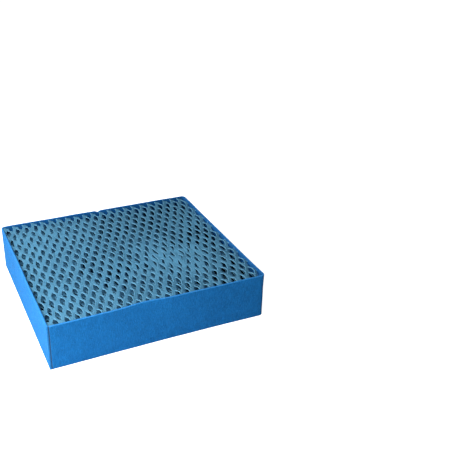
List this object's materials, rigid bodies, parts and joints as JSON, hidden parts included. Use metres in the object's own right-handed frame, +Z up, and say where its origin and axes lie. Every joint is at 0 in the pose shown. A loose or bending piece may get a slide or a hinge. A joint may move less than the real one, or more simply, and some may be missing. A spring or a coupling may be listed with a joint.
{
  "type": "wick filter pad",
  "caption": "Rectangular evaporator filter pad: a stack of stretched paper mesh sheets held inside a wrapped blue felt band.",
  "frame": {"origin": "centre of the underside of the pad as it lies flat", "axes": "+X along the long sides, +Y from the front run of the band, where the seam is at its left end, to the back run, +Z up through the stack of sheets"},
  "size_m": [0.24, 0.216, 0.052],
  "materials": {
    "felt": "needle-punched polyester felt, mid blue, soft matt nap",
    "wick_paper": "soft blue-grey wicking paper, matt, slightly fibrous",
    "glue": "milky hot-melt glue, slightly glossy"
  },
  "bodies": {
    "root": {"felt_band": "felt", "seam_glue": "glue", "glue_front": "glue", "glue_back": "glue", "glue_left": "glue", "glue_right": "glue", "wick_sheet_1": "wick_paper", "wick_sheet_2": "wick_paper", "wick_sheet_3": "wick_paper", "wick_sheet_4": "wick_paper", "wick_sheet_5": "wick_paper", "wick_sheet_6": "wick_paper", "wick_sheet_7": "wick_paper"}
  },
  "joints": []
}
